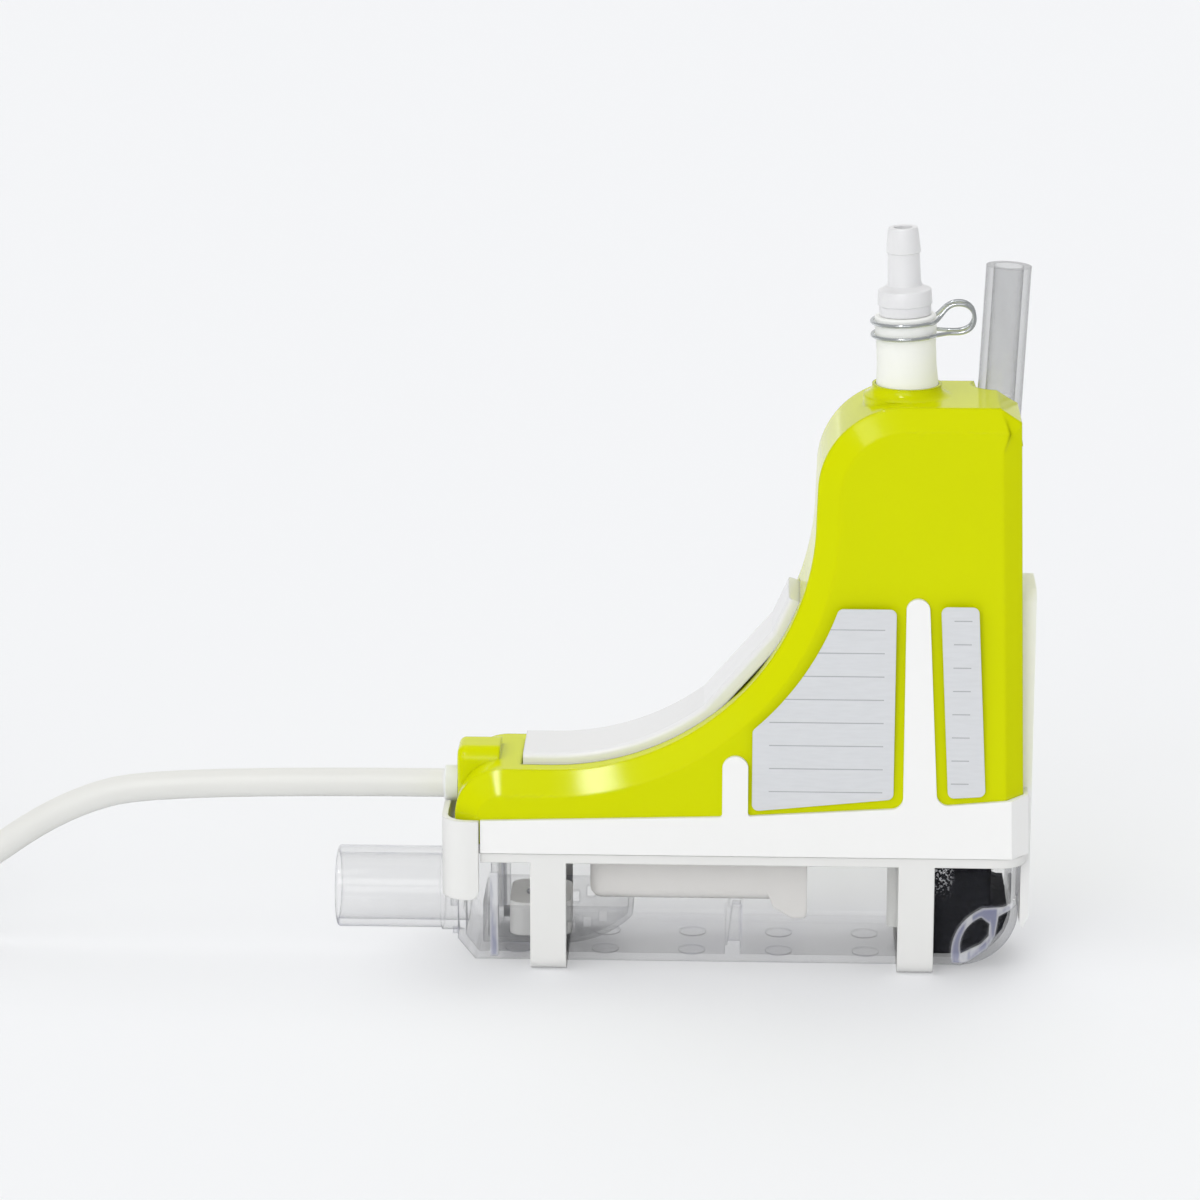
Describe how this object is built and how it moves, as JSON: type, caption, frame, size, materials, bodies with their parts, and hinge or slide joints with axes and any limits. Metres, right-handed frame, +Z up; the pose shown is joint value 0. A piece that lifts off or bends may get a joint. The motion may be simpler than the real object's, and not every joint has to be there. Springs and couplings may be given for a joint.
{
  "type": "condensate pump",
  "caption": "Slim L-shaped condensate pump: lime housing, clear reservoir in a white cradle, barbed outlet and breather tube on top, white cord.",
  "frame": {"origin": "centre of the bottom of the box round the pump without its cord, in the plane that the two cradle straps stand on", "axes": "+X from the inlet pipe to the back tongue, +Y across the pump away from the labels, +Z up along the outlet"},
  "size_m": [0.3301, 0.0557, 0.1495],
  "materials": {
    "lime_shell": "gloss",
    "white_gloss": "satin gloss",
    "white_floor": "satin",
    "soft_white": "matt",
    "silicone": "matt",
    "clear_tank": "clear",
    "clear_tube": "clear, flexible",
    "milky_plastic": "translucent",
    "float_white": "satin",
    "magnet": "plated",
    "black_foam": "open cell foam",
    "label_foil": "silvered film",
    "acetal": "satin",
    "pump_steel": "brushed",
    "cylinder_brass": "drawn tube",
    "spring_steel": "bright wire",
    "winding_copper": "enamelled copper wire",
    "board_green": "solder mask",
    "component_black": "moulded",
    "screw_zinc": "zinc plated",
    "gland_grey": "matt",
    "cord_white": "satin PVC",
    "tie_black": "woven hook and loop strap",
    "core_brown": "PVC",
    "core_blue": "PVC",
    "core_black": "PVC",
    "core_violet": "PVC"
  },
  "bodies": {
    "tank_unit": {"reservoir": "clear_tank", "tank_gasket": "silicone", "filter_foam": "black_foam", "float_cage": "milky_plastic", "tank_cradle": "white_gloss"},
    "casing": {"pump_housing": "lime_shell", "front_cover": "white_gloss", "outlet_adaptor": "white_gloss", "base_chassis": "white_floor", "isolation_skirt": "soft_white", "outlet_tube": "silicone", "lower_mount": "silicone", "upper_mount": "silicone", "suction_tube": "silicone", "vent_hose": "silicone", "breather_tube": "clear_tube", "rating_label": "label_foil", "serial_label": "label_foil", "inlet_fitting": "acetal", "outlet_head": "acetal", "outlet_port": "acetal", "inlet_valve_retainer": "acetal", "breather_spigot": "acetal", "coil_bobbin": "acetal", "pump_yoke": "pump_steel", "pump_cylinder": "cylinder_brass", "inlet_valve_spring": "spring_steel", "outlet_valve_spring": "spring_steel", "lower_piston_spring": "spring_steel", "upper_piston_spring": "spring_steel", "hose_clip": "spring_steel", "coil_winding": "winding_copper", "circuit_board": "board_green", "alarm_relay": "component_black", "float_sensor": "component_black", "board_capacitor": "component_black", "board_screws": "screw_zinc", "cable_gland": "gland_grey", "cord_run": "cord_white", "cord_hank": "cord_white", "cord_tie": "tie_black", "cord_core_brown": "core_brown", "cord_core_blue": "core_blue", "cord_core_black": "core_black", "cord_core_violet": "core_violet"},
    "float_unit": {"float_block": "float_white", "float_magnet": "magnet"},
    "latch": {"front_latch": "white_gloss"},
    "piston_body": {"piston": "pump_steel"},
    "inlet_valve_body": {"inlet_valve": "silicone"},
    "outlet_valve_body": {"outlet_valve": "silicone"}
  },
  "joints": [
    {"name": "casing_lift", "type": "slide", "parent": "tank_unit", "child": "casing", "axis": [0, 0, 1], "range_m": [0, 0.045]},
    {"name": "float_rise", "type": "slide", "parent": "tank_unit", "child": "float_unit", "axis": [0, 0, 1], "range_m": [0, 0.007]},
    {"name": "latch_swing", "type": "hinge", "parent": "tank_unit", "child": "latch", "pos_m": [-0.0426, 0, 0.0189], "axis": [0, -1, 0], "range_deg": [0, 10]},
    {"name": "piston_stroke", "type": "slide", "parent": "casing", "child": "piston_body", "axis": [0, 0, 1], "range_m": [-0.003, 0.003], "stiffness_N_per_m": 900, "deforming": ["lower_piston_spring", "upper_piston_spring"]},
    {"name": "inlet_valve_lift", "type": "slide", "parent": "casing", "child": "inlet_valve_body", "axis": [0, 0, 1], "range_m": [0, 0.0008], "stiffness_N_per_m": 20, "springref_m": -0.001, "deforming": ["inlet_valve_spring"]},
    {"name": "outlet_valve_lift", "type": "slide", "parent": "casing", "child": "outlet_valve_body", "axis": [0, 0, 1], "range_m": [0, 0.0008], "stiffness_N_per_m": 20, "springref_m": -0.001, "deforming": ["outlet_valve_spring"]}
  ]
}
